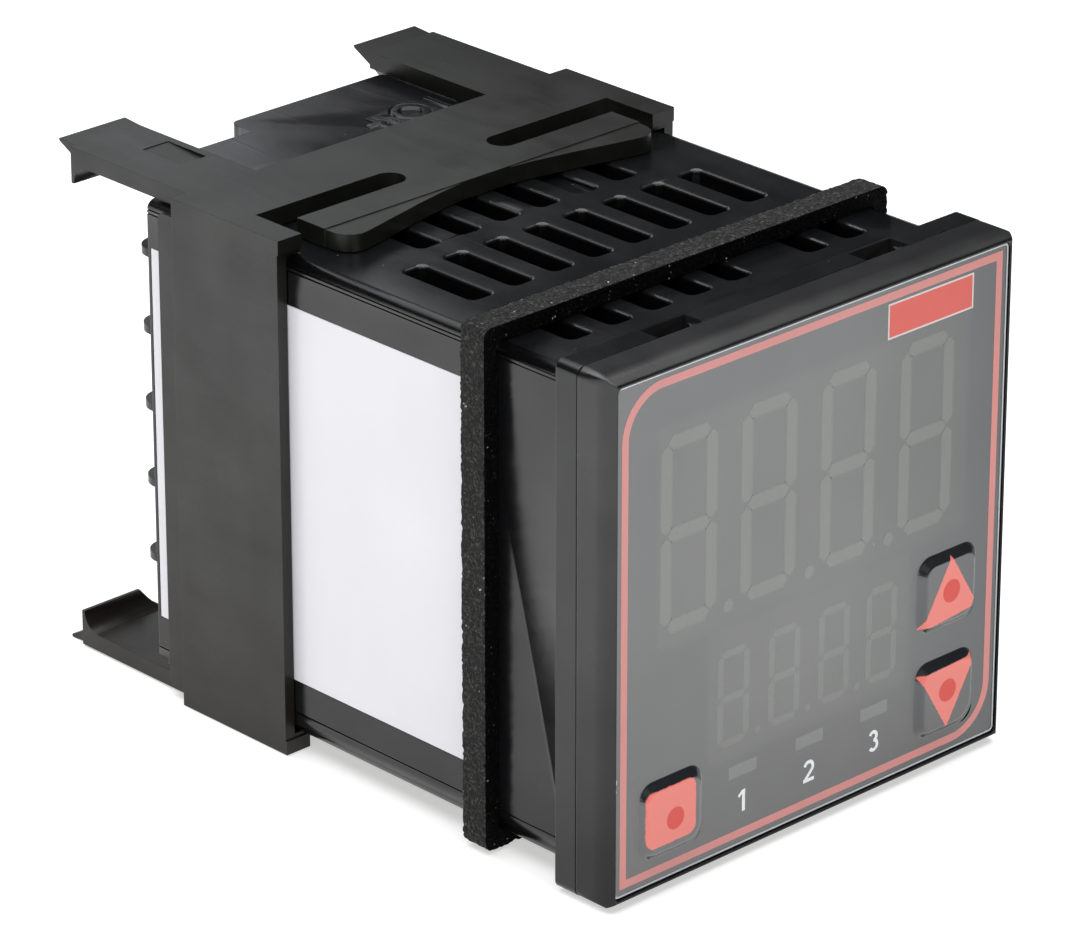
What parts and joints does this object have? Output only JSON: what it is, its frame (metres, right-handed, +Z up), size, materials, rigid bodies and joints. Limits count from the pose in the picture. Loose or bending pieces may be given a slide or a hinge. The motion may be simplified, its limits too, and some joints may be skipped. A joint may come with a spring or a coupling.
{
  "type": "pid temperature controller",
  "caption": "Square panel-mount temperature controller with two digit displays, lamps and three keys, short vented case, barrier terminals, foam gasket and push-on clamp.",
  "frame": {"origin": "centre of the plane of the front flange's rear face, where the panel stops", "axes": "+Y from the front to the rear, along the case; +Z up; +X to the right as seen from the front"},
  "size_m": [0.048, 0.0732, 0.0486],
  "materials": {
    "case_plastic": "satin",
    "block_plastic": "satin",
    "label_film": "satin",
    "contact_metal": "satin",
    "screw_steel": "satin",
    "bezel_plastic": "satin",
    "seal_rubber": "matt",
    "film": "satin",
    "key_field": "satin",
    "display_red": "matt",
    "display_green": "matt",
    "lamp_lens": "satin",
    "circuit_board": "satin",
    "switch_plastic": "matt",
    "relay_case": "satin",
    "chip_epoxy": "matt",
    "crystal_can": "satin",
    "core_steel": "matt",
    "copper_wire": "enamel",
    "bobbin_plastic": "matt",
    "capacitor_sleeve": "satin",
    "ferrite": "matt",
    "varistor_epoxy": "satin",
    "gasket_foam": "closed-cell foam",
    "clamp_plastic": "satin"
  },
  "bodies": {
    "case": {"case_sleeve": "case_plastic", "side_label": "label_film", "rear_terminal_block": "block_plastic", "terminal_barriers": "block_plastic", "terminal_plates": "contact_metal", "clamp_washers": "contact_metal", "terminal_screws": "screw_steel"},
    "front_unit": {"front_bezel": "bezel_plastic", "bezel_seal": "seal_rubber", "front_film": "film", "upper_display": "display_red", "lower_display": "display_green", "indicator_lamps": "lamp_lens", "display_board": "circuit_board", "key_switches": "switch_plastic", "main_board": "circuit_board", "power_board": "circuit_board", "board_headers": "switch_plastic", "output_relay_1": "relay_case", "output_relay_2": "relay_case", "microcontroller": "chip_epoxy", "crystal": "crystal_can", "memory_chip": "chip_epoxy", "output_driver": "chip_epoxy", "transformer_core": "core_steel", "transformer_winding": "copper_wire", "transformer_base": "bobbin_plastic", "main_capacitor": "capacitor_sleeve", "output_capacitors": "capacitor_sleeve", "bridge_rectifier": "chip_epoxy", "voltage_regulator": "chip_epoxy", "filter_choke": "ferrite", "varistor": "varistor_epoxy"},
    "set_key": {"key_set": "key_field"},
    "up_key": {"key_up": "key_field"},
    "down_key": {"key_down": "key_field"},
    "gasket": {"panel_gasket": "gasket_foam"},
    "clamp": {"panel_clamp": "clamp_plastic"}
  },
  "joints": [
    {"name": "front_unit_slide", "type": "slide", "parent": "case", "child": "front_unit", "axis": [0, 1, 0], "range_m": [-0.056, 0]},
    {"name": "set_key_press", "type": "slide", "parent": "front_unit", "child": "set_key", "axis": [0, 1, 0], "range_m": [0, 0.0003], "stiffness_N_per_m": 3000, "springref_m": -0.0003},
    {"name": "up_key_press", "type": "slide", "parent": "front_unit", "child": "up_key", "axis": [0, 1, 0], "range_m": [0, 0.0003], "stiffness_N_per_m": 3000, "springref_m": -0.0003},
    {"name": "down_key_press", "type": "slide", "parent": "front_unit", "child": "down_key", "axis": [0, 1, 0], "range_m": [0, 0.0003], "stiffness_N_per_m": 3000, "springref_m": -0.0003},
    {"name": "gasket_slide", "type": "slide", "parent": "case", "child": "gasket", "axis": [0, 1, 0], "range_m": [-0.0081, 0.009]},
    {"name": "clamp_slide", "type": "slide", "parent": "case", "child": "clamp", "axis": [0, 1, 0], "range_m": [-0.0095, 0.036]}
  ]
}
